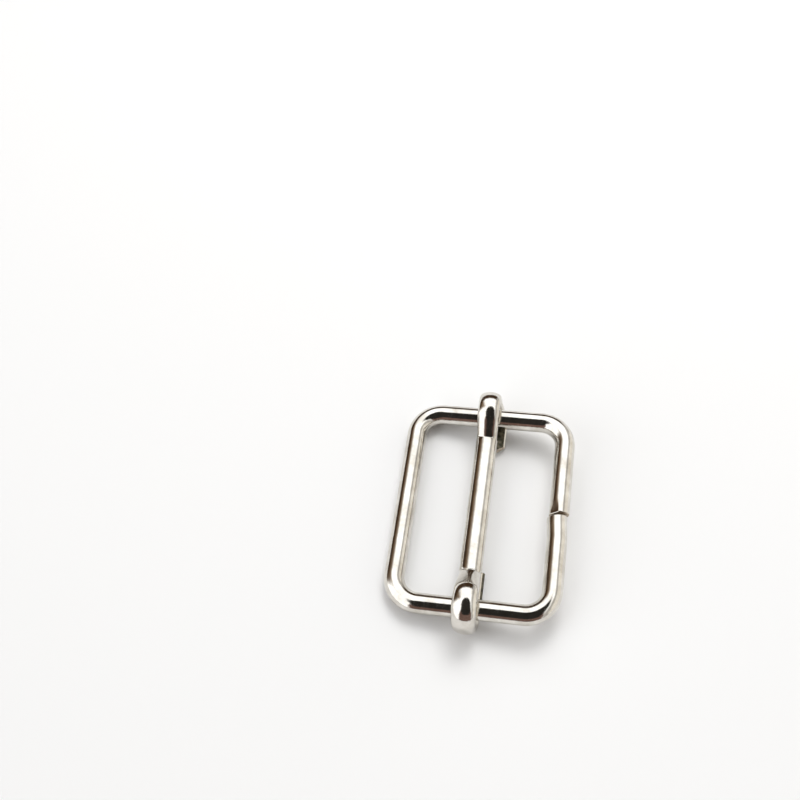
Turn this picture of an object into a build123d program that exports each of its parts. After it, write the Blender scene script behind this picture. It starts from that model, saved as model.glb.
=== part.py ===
"""Wire slide buckle: a bent wire frame with a coined bar that slides from side to side across it."""
import math
import os

from build123d import *

# Wire frame, millimetres
wire_diameter = 2.8
inner_width = 18.5
inner_length = 25.9
bend_radius = 3.6
butt_gap = 0.36
butt_round = 0.12

# Coined straight of the sliding bar
bar_rest_x = -0.4
flat_width = 3.08
flat_thickness = 2.5
flat_edge_round = 0.85
flat_top_height = 1.95

# Hooks at the bar's two ends: inner height leaves the end wire loose
hook_inner_radius = 1.7
arch_rise = 1.2
seat_rise = 0.2
hook_edge_round = 0.65
neck_step = 0.08
neck_width = 2.88
neck_overlap = 0.6
underside_depth = 2.55
bar_shift_y = 0.175
frame_shift_y = 0.055
far_hook = {
    "side": 1,
    "width": 3.05,
    "thickness": 1.5,
    "rise": 42.0,
    "neck": 0.9,
    "tail": 5.7,
    "sideways": 0.95,
    "crop": 2.2,
}
near_hook = {
    "side": -1,
    "width": 3.3,
    "thickness": 1.85,
    "rise": 40.0,
    "neck": 1.1,
    "tail": 5.75,
    "sideways": 0.1,
    "crop": 0.0,
}
neck_steps = 4
arch_steps = 11
seat_steps = 7

# Derived sizes
wire_radius = wire_diameter / 2
half_width = (inner_width + wire_diameter) / 2
half_length = (inner_length + wire_diameter) / 2
frame_height = underside_depth
flat_centre_height = frame_height + flat_top_height - flat_thickness / 2


def mean_radius(hook):
    """Radius of the hook's centre line."""
    return hook_inner_radius + hook["thickness"] / 2


def neck_height(hook):
    """Height of the neck's centre line above the frame's plane."""
    return flat_top_height - neck_step - hook["thickness"] / 2


def foot_distance(hook):
    """Distance from the hook's centre to the end of the coined straight."""
    rise = math.radians(hook["rise"])
    climb = arch_rise + mean_radius(hook) * math.cos(rise) - neck_height(hook)
    return mean_radius(hook) * math.sin(rise) + climb / math.tan(rise) + hook["neck"] * math.tan(rise / 2)


def neck_stations(hook):
    """Drift, y, z and heading along the neck's upward bend; y points outwards from the hook's centre."""
    stations = []
    for step in range(neck_steps + 1):
        heading = math.radians(hook["rise"]) * step / neck_steps
        y = hook["neck"] * math.sin(heading) - foot_distance(hook)
        z = neck_height(hook) + hook["neck"] * (1 - math.cos(heading))
        stations.append((0, y, z, heading))
    return stations


def arch_stations(hook):
    """Drift, y, z and heading over the end wire and down its outer side."""
    rise = math.radians(hook["rise"])
    stations = []
    for step in range(arch_steps + 1):
        heading = rise - (rise + math.pi / 2) * step / arch_steps
        y = -mean_radius(hook) * math.sin(heading)
        z = arch_rise + mean_radius(hook) * math.cos(heading)
        stations.append((0, y, z, heading))
    return stations


def seat_stations(hook):
    """Drift, y, z and heading round under the end wire, where the wire wanders sideways."""
    stations = []
    for step in range(seat_steps + 1):
        turned = step / seat_steps
        heading = -math.pi / 2 * (1 + turned)
        drift = hook["sideways"] * turned * turned * (3 - 2 * turned)
        y = -mean_radius(hook) * math.sin(heading)
        z = seat_rise + mean_radius(hook) * math.cos(heading)
        stations.append((drift, y, z, heading))
    return stations


def section_plane(hook, station):
    """Plane across the wire at one station of a hook."""
    drift, y, z, heading = station
    side = hook["side"]
    origin = (bar_rest_x + drift, bar_shift_y + side * (half_length + y), frame_height + z)
    return Plane(origin, x_dir=(1, 0, 0), z_dir=(0, side * math.cos(heading), math.sin(heading)))


# Wire frame: one length of round wire bent to a rounded rectangle, its ends butted on one long side
with BuildPart() as wire_frame:
    corner_x = half_width - bend_radius
    corner_y = half_length - bend_radius
    with BuildLine(Plane((0, frame_shift_y, frame_height))) as frame_path:
        Line((half_width, butt_gap / 2), (half_width, corner_y))
        RadiusArc((half_width, corner_y), (corner_x, half_length), -bend_radius)
        Line((corner_x, half_length), (-corner_x, half_length))
        RadiusArc((-corner_x, half_length), (-half_width, corner_y), -bend_radius)
        Line((-half_width, corner_y), (-half_width, -corner_y))
        RadiusArc((-half_width, -corner_y), (-corner_x, -half_length), -bend_radius)
        Line((-corner_x, -half_length), (corner_x, -half_length))
        RadiusArc((corner_x, -half_length), (half_width, -corner_y), -bend_radius)
        Line((half_width, -corner_y), (half_width, -butt_gap / 2))
    with BuildSketch(Plane((half_width, frame_shift_y + butt_gap / 2, frame_height), x_dir=(1, 0, 0), z_dir=(0, 1, 0))):
        Circle(wire_radius)
    sweep(path=frame_path.line)
    fillet(wire_frame.faces().filter_by(GeomType.PLANE).edges(), radius=butt_round)
wire_frame.part.label = "wire_frame"

# Sliding bar: a coined straight between two hooks curled over, round and back under the end wires
with BuildPart() as sliding_bar:
    near_end = bar_shift_y - half_length + foot_distance(near_hook)
    far_end = bar_shift_y + half_length - foot_distance(far_hook)
    with BuildSketch(Plane((bar_rest_x, near_end, flat_centre_height), x_dir=(-1, 0, 0), z_dir=(0, 1, 0))):
        RectangleRounded(flat_width, flat_thickness, flat_edge_round)
    extrude(amount=far_end - near_end)
    for hook in (far_hook, near_hook):
        stations = neck_stations(hook) + arch_stations(hook) + seat_stations(hook)
        for index, station in enumerate(stations):
            widened = min(index / neck_steps, 1)
            width = neck_width + (hook["width"] - neck_width) * widened
            with BuildSketch(section_plane(hook, station)):
                RectangleRounded(width, hook["thickness"], hook_edge_round)
        loft()
        with BuildSketch(section_plane(hook, stations[-1])):
            RectangleRounded(hook["width"], hook["thickness"], hook_edge_round)
        extrude(amount=hook["tail"])
        tail_end = bar_shift_y + hook["side"] * (half_length - hook["tail"])
        if hook["crop"]:
            with BuildSketch(Plane((bar_rest_x + hook["sideways"], tail_end, 0))):
                Polygon((-hook["width"] / 2, 0), (hook["width"] / 2, 0), (hook["width"] / 2, hook["crop"]), align=None)
            extrude(amount=frame_height - wire_radius, mode=Mode.SUBTRACT)
        with BuildSketch(section_plane(hook, stations[0])):
            RectangleRounded(neck_width, hook["thickness"], hook_edge_round)
        extrude(amount=-neck_overlap)
    split(bisect_by=Plane.XY, keep=Keep.TOP)
sliding_bar.part.label = "sliding_bar"

os.makedirs("parts", exist_ok=True)
export_step(wire_frame.part, "parts/wire_frame.step")
export_step(sliding_bar.part, "parts/sliding_bar.step")
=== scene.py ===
import math

import bmesh
import bpy
from mathutils import Matrix


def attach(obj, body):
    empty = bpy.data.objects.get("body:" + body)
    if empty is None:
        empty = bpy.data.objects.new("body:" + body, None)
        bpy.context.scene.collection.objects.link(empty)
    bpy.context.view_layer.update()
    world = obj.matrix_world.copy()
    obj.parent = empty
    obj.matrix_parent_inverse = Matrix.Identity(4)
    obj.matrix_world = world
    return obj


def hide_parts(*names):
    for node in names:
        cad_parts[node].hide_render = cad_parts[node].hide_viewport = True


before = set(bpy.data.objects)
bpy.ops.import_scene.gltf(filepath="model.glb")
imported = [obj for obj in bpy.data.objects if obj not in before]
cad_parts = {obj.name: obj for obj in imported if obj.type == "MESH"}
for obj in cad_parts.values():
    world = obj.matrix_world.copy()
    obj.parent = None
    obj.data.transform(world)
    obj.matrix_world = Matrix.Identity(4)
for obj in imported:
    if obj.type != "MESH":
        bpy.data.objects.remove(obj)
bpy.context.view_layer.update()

# ---------------------------------------------------------------- wire frame
# One length of bright nickel-plated steel wire, cold bent round four pins into a
# rounded rectangle. Its two cropped ends are butted in the middle of the right side.


def extrude_ring(mesh, edges, offset, steps=1):
    """Pulls an open ring of edges along offset in equal steps and returns the last ring."""
    for _ in range(steps):
        made = bmesh.ops.extrude_edge_only(mesh, edges=edges)["geom"]
        points = [g for g in made if isinstance(g, bmesh.types.BMVert)]
        edges = [g for g in made if isinstance(g, bmesh.types.BMEdge)]
        bmesh.ops.translate(mesh, verts=points, vec=[part / steps for part in offset])
    return edges


def spin_ring(mesh, edges, centre, axis, angle, steps, drift=(0, 0, 0)):
    """Sweeps an open ring of edges round an axis and returns the last ring."""
    points = list({v for e in edges for v in e.verts})
    step_drift = [part / steps for part in drift]
    made = bmesh.ops.spin(mesh, geom=points + edges, cent=centre, axis=axis, dvec=step_drift,
                          angle=angle, steps=steps, use_duplicate=False)
    return [g for g in made["geom_last"] if isinstance(g, bmesh.types.BMEdge)]


def scale_ring(mesh, edges, centre, factors):
    """Scales a ring about a point."""
    points = list({v for e in edges for v in e.verts})
    bmesh.ops.translate(mesh, verts=points, vec=[-part for part in centre])
    bmesh.ops.scale(mesh, verts=points, vec=factors)
    bmesh.ops.translate(mesh, verts=points, vec=centre)


def smoothstep(low, high, value):
    """0 below low, 1 above high, and smooth in between."""
    share = min(1.0, max(0.0, (value - low) / (high - low)))
    return share * share * (3 - 2 * share)


def finished_piece(mesh, name, materials, sharp_degrees):
    """Turns a bmesh into a smooth-shaded object at the origin."""
    bmesh.ops.remove_doubles(mesh, verts=mesh.verts, dist=1e-7)
    bmesh.ops.recalc_face_normals(mesh, faces=mesh.faces)
    for face in mesh.faces:
        face.smooth = True
    for edge in mesh.edges:
        if len(edge.link_faces) == 2 and edge.calc_face_angle() > math.radians(sharp_degrees):
            edge.smooth = False
    data = bpy.data.meshes.new(name)
    mesh.to_mesh(data)
    mesh.free()
    for material in materials:
        data.materials.append(material)
    piece = bpy.data.objects.new(name, data)
    bpy.context.scene.collection.objects.link(piece)
    return piece


def nickel(name, draw_scale, seed):
    """Bright nickel plate over drawn steel wire: warm, glossy, with faint draw lines and haze."""
    material = bpy.data.materials.new(name)
    material.use_nodes = True
    nodes = material.node_tree.nodes
    links = material.node_tree.links
    shader = nodes["Principled BSDF"]
    shader.inputs["Metallic"].default_value = 1.0
    shader.inputs["IOR"].default_value = 1.8
    where = nodes.new("ShaderNodeTexCoord")

    cloud = nodes.new("ShaderNodeTexNoise")
    cloud.noise_dimensions = "4D"
    cloud.inputs["W"].default_value = seed
    cloud.inputs["Scale"].default_value = 420.0
    cloud.inputs["Detail"].default_value = 5.0
    cloud.inputs["Roughness"].default_value = 0.6
    links.new(where.outputs["Object"], cloud.inputs["Vector"])

    tint = nodes.new("ShaderNodeValToRGB")
    tint.color_ramp.elements[0].position = 0.30
    tint.color_ramp.elements[0].color = (0.53, 0.495, 0.44, 1)
    tint.color_ramp.elements[1].position = 0.66
    tint.color_ramp.elements[1].color = (0.80, 0.775, 0.725, 1)
    links.new(cloud.outputs["Fac"], tint.inputs["Fac"])
    links.new(tint.outputs["Color"], shader.inputs["Base Color"])

    stretched = nodes.new("ShaderNodeMapping")
    stretched.inputs["Scale"].default_value = draw_scale
    links.new(where.outputs["Object"], stretched.inputs["Vector"])
    lines = nodes.new("ShaderNodeTexNoise")
    lines.noise_dimensions = "4D"
    lines.inputs["W"].default_value = seed + 3.0
    lines.inputs["Scale"].default_value = 1.0
    lines.inputs["Detail"].default_value = 4.0
    links.new(stretched.outputs["Vector"], lines.inputs["Vector"])

    haze = nodes.new("ShaderNodeMapRange")
    haze.inputs["From Min"].default_value = 0.35
    haze.inputs["From Max"].default_value = 0.75
    haze.inputs["To Min"].default_value = 0.055
    haze.inputs["To Max"].default_value = 0.17
    links.new(lines.outputs["Fac"], haze.inputs["Value"])
    links.new(haze.outputs["Result"], shader.inputs["Roughness"])

    peel = nodes.new("ShaderNodeTexNoise")
    peel.noise_dimensions = "4D"
    peel.inputs["W"].default_value = seed + 7.0
    peel.inputs["Scale"].default_value = 900.0
    peel.inputs["Detail"].default_value = 2.0
    links.new(where.outputs["Object"], peel.inputs["Vector"])
    height = nodes.new("ShaderNodeMix")
    height.data_type = "FLOAT"
    height.inputs[0].default_value = 0.45
    links.new(peel.outputs["Fac"], height.inputs[2])
    links.new(lines.outputs["Fac"], height.inputs[3])
    bump = nodes.new("ShaderNodeBump")
    bump.inputs["Strength"].default_value = 0.5
    bump.inputs["Distance"].default_value = 0.00002
    links.new(height.outputs[0], bump.inputs["Height"])
    links.new(bump.outputs["Normal"], shader.inputs["Normal"])
    return material


def cropped_steel(name):
    """Sheared wire end: thin, dull plating over torn steel."""
    material = bpy.data.materials.new(name)
    material.use_nodes = True
    nodes = material.node_tree.nodes
    links = material.node_tree.links
    shader = nodes["Principled BSDF"]
    shader.inputs["Metallic"].default_value = 1.0
    where = nodes.new("ShaderNodeTexCoord")
    grain = nodes.new("ShaderNodeTexNoise")
    grain.inputs["Scale"].default_value = 2600.0
    grain.inputs["Detail"].default_value = 6.0
    links.new(where.outputs["Object"], grain.inputs["Vector"])
    tint = nodes.new("ShaderNodeValToRGB")
    tint.color_ramp.elements[0].position = 0.32
    tint.color_ramp.elements[0].color = (0.30, 0.23, 0.16, 1)
    tint.color_ramp.elements[1].position = 0.68
    tint.color_ramp.elements[1].color = (0.72, 0.64, 0.53, 1)
    links.new(grain.outputs["Fac"], tint.inputs["Fac"])
    links.new(tint.outputs["Color"], shader.inputs["Base Color"])
    shader.inputs["Roughness"].default_value = 0.42
    bump = nodes.new("ShaderNodeBump")
    bump.inputs["Strength"].default_value = 0.7
    bump.inputs["Distance"].default_value = 0.00006
    links.new(grain.outputs["Fac"], bump.inputs["Height"])
    links.new(bump.outputs["Normal"], shader.inputs["Normal"])
    return material


WIRE_RADIUS = 0.0014
HALF_WIDTH = 0.01065
HALF_LENGTH = 0.01435
BEND_RADIUS = 0.0036
FRAME_Y = 0.000055
FRAME_Z = 0.00255
HALF_GAP = 0.00018
BUTT_ROUND = 0.00012
CROPPED_END = 1  # material slot of a sheared wire end
corner_x = HALF_WIDTH - BEND_RADIUS
corner_y = HALF_LENGTH - BEND_RADIUS
straight = corner_y - HALF_GAP

wire = bmesh.new()
bmesh.ops.create_circle(wire, cap_ends=False, segments=56, radius=WIRE_RADIUS)
bmesh.ops.rotate(wire, verts=wire.verts, cent=(0, 0, 0),
                 matrix=Matrix.Rotation(math.pi / 2, 3, "X"))
bmesh.ops.translate(wire, verts=wire.verts, vec=(HALF_WIDTH, FRAME_Y + HALF_GAP, FRAME_Z))
first_ring = list(wire.edges)
ring = extrude_ring(wire, first_ring, (0, straight, 0), 36)
ring = spin_ring(wire, ring, (corner_x, FRAME_Y + corner_y, 0), (0, 0, 1), math.pi / 2, 28)
ring = extrude_ring(wire, ring, (-2 * corner_x, 0, 0), 8)
ring = spin_ring(wire, ring, (-corner_x, FRAME_Y + corner_y, 0), (0, 0, 1), math.pi / 2, 28)
ring = extrude_ring(wire, ring, (0, -2 * corner_y, 0), 8)
ring = spin_ring(wire, ring, (-corner_x, FRAME_Y - corner_y, 0), (0, 0, 1), math.pi / 2, 28)
ring = extrude_ring(wire, ring, (2 * corner_x, 0, 0), 8)
ring = spin_ring(wire, ring, (corner_x, FRAME_Y - corner_y, 0), (0, 0, 1), math.pi / 2, 28)
last_ring = extrude_ring(wire, ring, (0, straight, 0), 36)

# The cropping tool leaves the ends a little askew, with a flat on the upper one, and the lower
# end sits a little inboard of it.
BUTT_REACH = 0.004
BUTT_SHEAR = 0.15
LOWER_END_INBOARD = 0.00024
FLAT_LEVEL = 0.86 * WIRE_RADIUS
FLAT_INWARD, FLAT_UPWARD = 0.6, 0.8
for point in wire.verts:
    along = point.co.y - FRAME_Y
    if point.co.x > corner_x + BEND_RADIUS / 2 and abs(along) < BUTT_REACH:
        pinch = 1 - smoothstep(0.0003, 0.0022, abs(along))
        outward = point.co.x - HALF_WIDTH
        upward = point.co.z - FRAME_Z
        dented = FLAT_UPWARD * upward - FLAT_INWARD * outward - FLAT_LEVEL
        point.co.y += BUTT_SHEAR * outward * pinch
        if along > 0 and dented > 0:
            point.co.x += FLAT_INWARD * dented * pinch
            point.co.z -= FLAT_UPWARD * dented * pinch
        if along < 0:
            point.co.x -= LOWER_END_INBOARD * (1 - smoothstep(0.0002, 0.0038, -along))

end_caps = bmesh.ops.edgeloop_fill(wire, edges=first_ring, mat_nr=CROPPED_END)["faces"]
end_caps += bmesh.ops.edgeloop_fill(wire, edges=last_ring, mat_nr=CROPPED_END)["faces"]
rim = list({edge for cap in end_caps for edge in cap.edges})
bmesh.ops.bevel(wire, geom=rim, offset=BUTT_ROUND, segments=4, profile=0.5, affect="EDGES",
                material=-1)

frame_nickel = nickel("nickel_frame", (2600.0, 500.0, 2600.0), 1.0)
crop_steel = cropped_steel("cropped_wire_end")
wire_piece = finished_piece(wire, "wire_frame_plated", [frame_nickel, crop_steel], 50)
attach(wire_piece, "frame")
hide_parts("wire_frame")

# ---------------------------------------------------------------- sliding bar
# A second length of the same wire, coined to an oval along its straight, with both ends curled
# up over the end wires, round the outside and back beneath them. It is free to slide sideways.
BAR_X = -0.0004
BAR_Y = 0.000175
FLAT_TOP = 0.00195
FLAT_HALF_WIDTH = 0.00154
FLAT_HALF_THICKNESS = 0.00125
INNER_RADIUS = 0.0017
ARCH_RISE = 0.0012
SEAT_RISE = 0.0002
STEP_DOWN = 0.00008
NECK_HALF_WIDTH = 0.00144
NECK_EASE = 0.00004
far = {"side": 1, "half_width": 0.001525, "half_thickness": 0.00075, "rise": 42, "neck": 0.0009,
       "tail": 0.0057, "sideways": 0.00095, "crop": 0.0022}
near = {"side": -1, "half_width": 0.00165, "half_thickness": 0.000925, "rise": 40, "neck": 0.0011,
        "tail": 0.00575, "sideways": 0.0001, "crop": 0.0}


def foot_distance(hook):
    """How far inwards from the hook's centre the coined straight ends."""
    rise = math.radians(hook["rise"])
    mean = INNER_RADIUS + hook["half_thickness"]
    climb = ARCH_RISE + mean * math.cos(rise) - (FLAT_TOP - STEP_DOWN - hook["half_thickness"])
    return mean * math.sin(rise) + climb / math.tan(rise) + hook["neck"] * math.tan(rise / 2)


def curl_out(mesh, edges, hook):
    """Carries a ring up the neck, over, round and back beneath the end wire."""
    side = hook["side"]
    rise = math.radians(hook["rise"])
    mean = INNER_RADIUS + hook["half_thickness"]
    centre_y = BAR_Y + side * HALF_LENGTH
    foot_y = centre_y - side * foot_distance(hook)
    neck_z = FRAME_Z + FLAT_TOP - STEP_DOWN - hook["half_thickness"]
    arch_z = FRAME_Z + ARCH_RISE
    seat_z = FRAME_Z + SEAT_RISE
    run_y = foot_distance(hook) - mean * math.sin(rise) - hook["neck"] * math.sin(rise)
    run_z = run_y * math.tan(rise)
    axis = (side, 0, 0)
    edges = spin_ring(mesh, edges, (0, foot_y, neck_z + hook["neck"]), axis, rise, 14)
    neck_parts = 8
    widening = (hook["half_width"] / NECK_HALF_WIDTH) ** (1 / neck_parts)
    for _ in range(neck_parts):
        edges = extrude_ring(mesh, edges, (0, side * run_y / neck_parts, run_z / neck_parts))
        scale_ring(mesh, edges, (BAR_X, 0, 0), (widening, 1, 1))
    edges = spin_ring(mesh, edges, (0, centre_y, arch_z), axis, -rise - math.pi / 2, 40)
    edges = extrude_ring(mesh, edges, (0, 0, SEAT_RISE - ARCH_RISE), 5)
    drift = (hook["sideways"], 0, 0)
    edges = spin_ring(mesh, edges, (0, centre_y, seat_z), axis, -math.pi / 2, 30, drift)
    return extrude_ring(mesh, edges, (0, -side * hook["tail"], 0), 24)


bar = bmesh.new()
far_foot = BAR_Y + HALF_LENGTH - foot_distance(far)
near_foot = BAR_Y - HALF_LENGTH + foot_distance(near)
flat_z = FRAME_Z + FLAT_TOP - FLAT_HALF_THICKNESS
bmesh.ops.create_circle(bar, cap_ends=False, segments=44, radius=1.0)
bmesh.ops.scale(bar, verts=bar.verts, vec=(FLAT_HALF_WIDTH, FLAT_HALF_THICKNESS, 1))
bmesh.ops.rotate(bar, verts=bar.verts, cent=(0, 0, 0),
                 matrix=Matrix.Rotation(math.pi / 2, 3, "X"))
bmesh.ops.translate(bar, verts=bar.verts, vec=(BAR_X, near_foot + NECK_EASE, flat_z))
near_ring = list(bar.edges)
far_ring = extrude_ring(bar, near_ring, (0, far_foot - near_foot - 2 * NECK_EASE, 0), 40)
for ring, hook in ((near_ring, near), (far_ring, far)):
    ring = extrude_ring(bar, ring, (0, hook["side"] * NECK_EASE, 0))
    factors = (NECK_HALF_WIDTH / FLAT_HALF_WIDTH, 1, hook["half_thickness"] / FLAT_HALF_THICKNESS)
    scale_ring(bar, ring, (BAR_X, 0, flat_z), factors)
    neck_z = FRAME_Z + FLAT_TOP - STEP_DOWN - hook["half_thickness"]
    ring_points = list({v for e in ring for v in e.verts})
    bmesh.ops.translate(bar, verts=ring_points, vec=(0, 0, neck_z - flat_z))
    hook["end"] = curl_out(bar, ring, hook)

# The far tail was cropped off askew.
tail_x = BAR_X + far["sideways"] - far["half_width"]
tail_y = BAR_Y + HALF_LENGTH - far["tail"]
TAIL_TOP = 0.0013
tail = [face for face in bar.faces
        if face.calc_center_median().z < TAIL_TOP and face.calc_center_median().y > 0]
tail_edges = list({edge for face in tail for edge in face.edges})
tail_points = list({point for face in tail for point in face.verts})
cut = bmesh.ops.bisect_plane(bar, geom=tail + tail_edges + tail_points, clear_outer=True,
                             plane_co=(tail_x, tail_y, 0),
                             plane_no=(far["crop"], -2 * far["half_width"], 0))["geom_cut"]
far["end"] = [g for g in cut if isinstance(g, bmesh.types.BMEdge)]

# The curls are pressed flat underneath, where they bear on the table.
for point in bar.verts:
    point.co.z = max(point.co.z, 0.0)

# The inside of the far curl and the near tail's right edge are given a dark material: painted
# shade where they tuck under the end wire and the bar.
bmesh.ops.recalc_face_normals(bar, faces=bar.faces)
NEAR_TAIL_EDGE = BAR_X + near["sideways"] + near["half_width"] - 0.00028
FAR_TAIL_RIM = BAR_X + far["sideways"] + far["half_width"] - 0.0003
NEAR_TAIL_END, NEAR_TAIL_TOP = -0.0132, 0.0012
CURL_START, CURL_END, CURL_TOP = 0.008, 0.0138, 0.0018
FACING_UP = 0.45
PAINTED_SHADE_SLOT = 2  # material slot of the painted shade
for face in bar.faces:
    centre = face.calc_center_median()
    inside_curl = (CURL_START < centre.y < CURL_END and centre.z < CURL_TOP
                   and centre.x < FAR_TAIL_RIM and face.normal.z > FACING_UP)
    tail_edge = (NEAR_TAIL_END < centre.y < 0 and centre.z < NEAR_TAIL_TOP
                 and centre.x > NEAR_TAIL_EDGE)
    if inside_curl or tail_edge:
        face.material_index = PAINTED_SHADE_SLOT

for hook in (near, far):
    bmesh.ops.edgeloop_fill(bar, edges=hook["end"], mat_nr=CROPPED_END)

# Dark grainy metal for the tucked-in faces: painted shade.
shaded_recess = bpy.data.materials.new("painted_shade_recess")
shaded_recess.use_nodes = True
recess_nodes = shaded_recess.node_tree.nodes
recess_links = shaded_recess.node_tree.links
recess_shader = recess_nodes["Principled BSDF"]
recess_shader.inputs["Metallic"].default_value = 0.7
recess_shader.inputs["Roughness"].default_value = 0.38
recess_where = recess_nodes.new("ShaderNodeTexCoord")
recess_grain = recess_nodes.new("ShaderNodeTexNoise")
recess_grain.inputs["Scale"].default_value = 1800.0
recess_grain.inputs["Detail"].default_value = 5.0
recess_links.new(recess_where.outputs["Object"], recess_grain.inputs["Vector"])
recess_tint = recess_nodes.new("ShaderNodeValToRGB")
recess_tint.color_ramp.elements[0].position = 0.35
recess_tint.color_ramp.elements[0].color = (0.030, 0.028, 0.016, 1)
recess_tint.color_ramp.elements[1].position = 0.70
recess_tint.color_ramp.elements[1].color = (0.17, 0.15, 0.10, 1)
recess_links.new(recess_grain.outputs["Fac"], recess_tint.inputs["Fac"])
recess_links.new(recess_tint.outputs["Color"], recess_shader.inputs["Base Color"])

bar_nickel = nickel("nickel_bar", (2600.0, 600.0, 2600.0), 12.0)
bar_piece = finished_piece(bar, "sliding_bar_plated", [bar_nickel, crop_steel, shaded_recess], 40)
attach(bar_piece, "bar")
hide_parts("sliding_bar")

# ---------------------------------------------------------------- floor
# A plain pale sheet. The buckle lies on its left rail and on the flats under its two curls, so
# the sheet leans seven degrees to the buckle's own plane.
FLOOR_LEAN = math.radians(7.2)
floor_mesh = bmesh.new()
bmesh.ops.create_grid(floor_mesh, x_segments=1, y_segments=1, size=0.6)
bmesh.ops.rotate(floor_mesh, verts=floor_mesh.verts, cent=(0, 0, 0),
                 matrix=Matrix.Rotation(FLOOR_LEAN, 3, "Y"))
bmesh.ops.translate(floor_mesh, verts=floor_mesh.verts, vec=(-0.00168, 0, -0.00003))
floor_data = bpy.data.meshes.new("floor")
floor_mesh.to_mesh(floor_data)
floor_mesh.free()
floor = bpy.data.objects.new("floor", floor_data)
bpy.context.scene.collection.objects.link(floor)
paper = bpy.data.materials.new("pale_sheet")
paper.use_nodes = True
paper_shader = paper.node_tree.nodes["Principled BSDF"]
paper_shader.inputs["Base Color"].default_value = (0.915, 0.92, 0.925, 1)
paper_shader.inputs["Roughness"].default_value = 0.8
paper_shader.inputs["Specular IOR Level"].default_value = 0.1
floor_data.materials.append(paper)

# ---------------------------------------------------------------- studio light
# A white tent open towards the viewer: dark opening in front, warm brown low behind and on the
# left, cream on the right, and one large soft lamp high behind.
world = bpy.data.worlds.new("studio")
bpy.context.scene.world = world
world.use_nodes = True
world_nodes = world.node_tree.nodes
world_links = world.node_tree.links
direction = world_nodes.new("ShaderNodeTexCoord")
level = world_nodes.new("ShaderNodeMapping")
level.inputs["Rotation"].default_value = (0, math.radians(-6.4), math.radians(-8.71))
world_links.new(direction.outputs["Generated"], level.inputs["Vector"])


def ramp(source, low, high):
    """Node socket that rises smoothly from 0 at low to 1 at high; low above high makes it fall."""
    node = world_nodes.new("ShaderNodeMapRange")
    node.interpolation_type = "SMOOTHSTEP"
    falls = low > high
    node.inputs["From Min"].default_value = high if falls else low
    node.inputs["From Max"].default_value = low if falls else high
    node.inputs["To Min"].default_value = 1.0 if falls else 0.0
    node.inputs["To Max"].default_value = 0.0 if falls else 1.0
    world_links.new(source, node.inputs["Value"])
    return node.outputs["Result"]


def times(first, second):
    """Node socket with the product of two sockets."""
    node = world_nodes.new("ShaderNodeMath")
    node.operation = "MULTIPLY"
    world_links.new(first, node.inputs[0])
    world_links.new(second, node.inputs[1])
    return node.outputs["Value"]


def painted(below, mask, color):
    """Node socket with color laid over below where mask is 1."""
    node = world_nodes.new("ShaderNodeMix")
    node.data_type = "RGBA"
    world_links.new(mask, node.inputs["Factor"])
    if isinstance(below, tuple):
        node.inputs["A"].default_value = below
    else:
        world_links.new(below, node.inputs["A"])
    node.inputs["B"].default_value = color
    return node.outputs["Result"]


def ellipse(half_x, centre_y, half_y):
    """Node socket with the distance from the middle of an ellipse of directions, 1 on its edge."""
    shift = world_nodes.new("ShaderNodeMapping")
    shift.inputs["Location"].default_value = (0, -centre_y / half_y, 0)
    shift.inputs["Scale"].default_value = (1 / half_x, 1 / half_y, 0)
    world_links.new(ragged.outputs["Vector"], shift.inputs["Vector"])
    length = world_nodes.new("ShaderNodeVectorMath")
    length.operation = "LENGTH"
    world_links.new(shift.outputs["Vector"], length.inputs[0])
    return length.outputs["Value"]


# Edges of the surroundings are folds of cloth and worn wood, so no edge is ruled.
folds = world_nodes.new("ShaderNodeTexNoise")
folds.inputs["Scale"].default_value = 13.0
folds.inputs["Detail"].default_value = 3.0
world_links.new(level.outputs["Vector"], folds.inputs["Vector"])
centred = world_nodes.new("ShaderNodeVectorMath")
centred.operation = "MULTIPLY_ADD"
centred.inputs[1].default_value = (0.20, 0.20, 0.20)
centred.inputs[2].default_value = (-0.10, -0.10, -0.10)
world_links.new(folds.outputs["Color"], centred.inputs[0])
ragged = world_nodes.new("ShaderNodeVectorMath")
ragged.operation = "ADD"
world_links.new(level.outputs["Vector"], ragged.inputs[0])
world_links.new(centred.outputs["Vector"], ragged.inputs[1])
axes = world_nodes.new("ShaderNodeSeparateXYZ")
world_links.new(ragged.outputs["Vector"], axes.inputs["Vector"])
x_axis, y_axis, z_axis = axes.outputs["X"], axes.outputs["Y"], axes.outputs["Z"]

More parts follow.
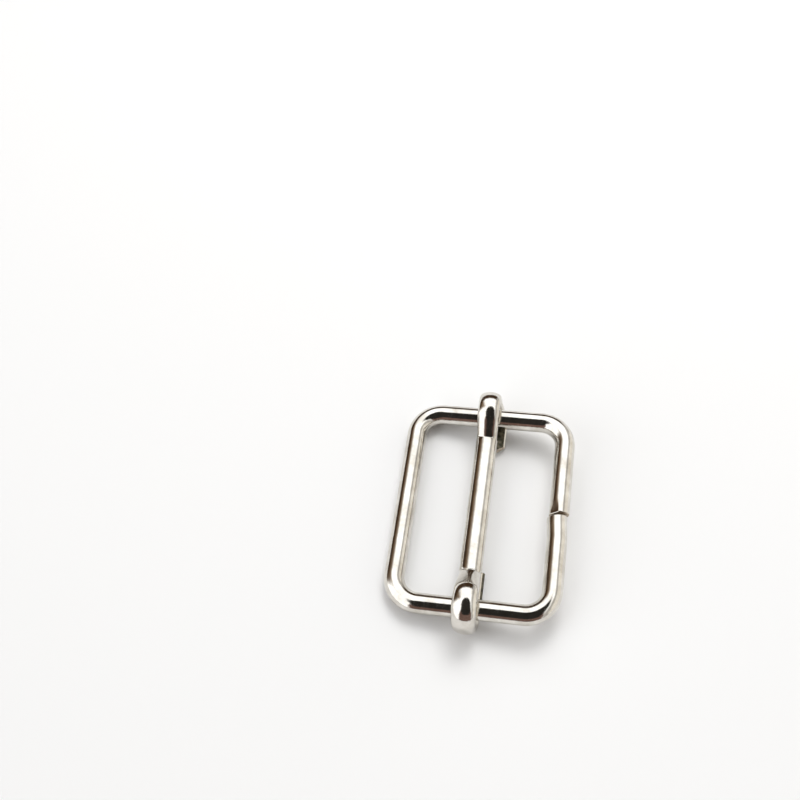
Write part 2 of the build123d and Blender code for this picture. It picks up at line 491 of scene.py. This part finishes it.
sky = painted((1.72, 1.73, 1.74, 1), ramp(x_axis, 0.40, 0.62), (0.58, 0.565, 0.54, 1))
sky = painted(sky, ramp(x_axis, 0.70, 0.80), (1.04, 1.0, 0.92, 1))
left_wood = times(ramp(x_axis, -0.28, -0.64), ramp(y_axis, 0.05, 0.35))
sky = painted(sky, left_wood, (0.25, 0.175, 0.115, 1))
far_left = times(ramp(x_axis, -0.68, -0.78), ramp(y_axis, 0.05, 0.35))
sky = painted(sky, far_left, (0.15, 0.11, 0.08, 1))
low_back = times(ramp(y_axis, 0.3, 0.5), ramp(z_axis, 0.54, 0.38))
sky = painted(sky, times(low_back, ramp(x_axis, 0.62, 0.45)), (0.07, 0.042, 0.024, 1))
sky = painted(sky, ramp(ellipse(0.58, -0.75, 0.44), 1.0, 0.86), (0.19, 0.12, 0.10, 1))
opening = times(ramp(ellipse(0.50, -0.40, 0.68), 1.0, 0.86), ramp(z_axis, 0.46, 0.52))
sky = painted(sky, opening, (0.027, 0.025, 0.022, 1))
background = world_nodes["Background"]
world_links.new(sky, background.inputs["Color"])
background.inputs["Strength"].default_value = 1.0

lamp_data = bpy.data.lights.new("soft_lamp", "AREA")
lamp_data.shape = "DISK"
lamp_data.size = 0.16
lamp_data.energy = 0.42
lamp_data.color = (1.0, 0.99, 0.97)
lamp = bpy.data.objects.new("soft_lamp", lamp_data)
lamp.location = (0.05, 0.20, 0.30)
lamp.rotation_euler = lamp.location.to_track_quat("Z", "Y").to_euler()
lamp.visible_glossy = False
bpy.context.scene.collection.objects.link(lamp)
bpy.context.scene.view_settings.view_transform = "Standard"

# ---------------------------------------------------------------- camera
# Sixty-one degrees above the floor and a little left of the buckle, which lies turned nine
# degrees clockwise and to the lower right of the middle of the view.
camera_data = bpy.data.cameras.new("camera")
camera_data.sensor_width = 36
camera_data.lens = 46.37
camera_data.clip_start = 0.005
camera_data.clip_end = 5
camera = bpy.data.objects.new("camera", camera_data)
camera.location = (0.011973, -0.056004, 0.135165)
camera.rotation_euler = (math.radians(29.473), math.radians(6.326), math.radians(8.764))
bpy.context.scene.collection.objects.link(camera)
bpy.context.scene.camera = camera
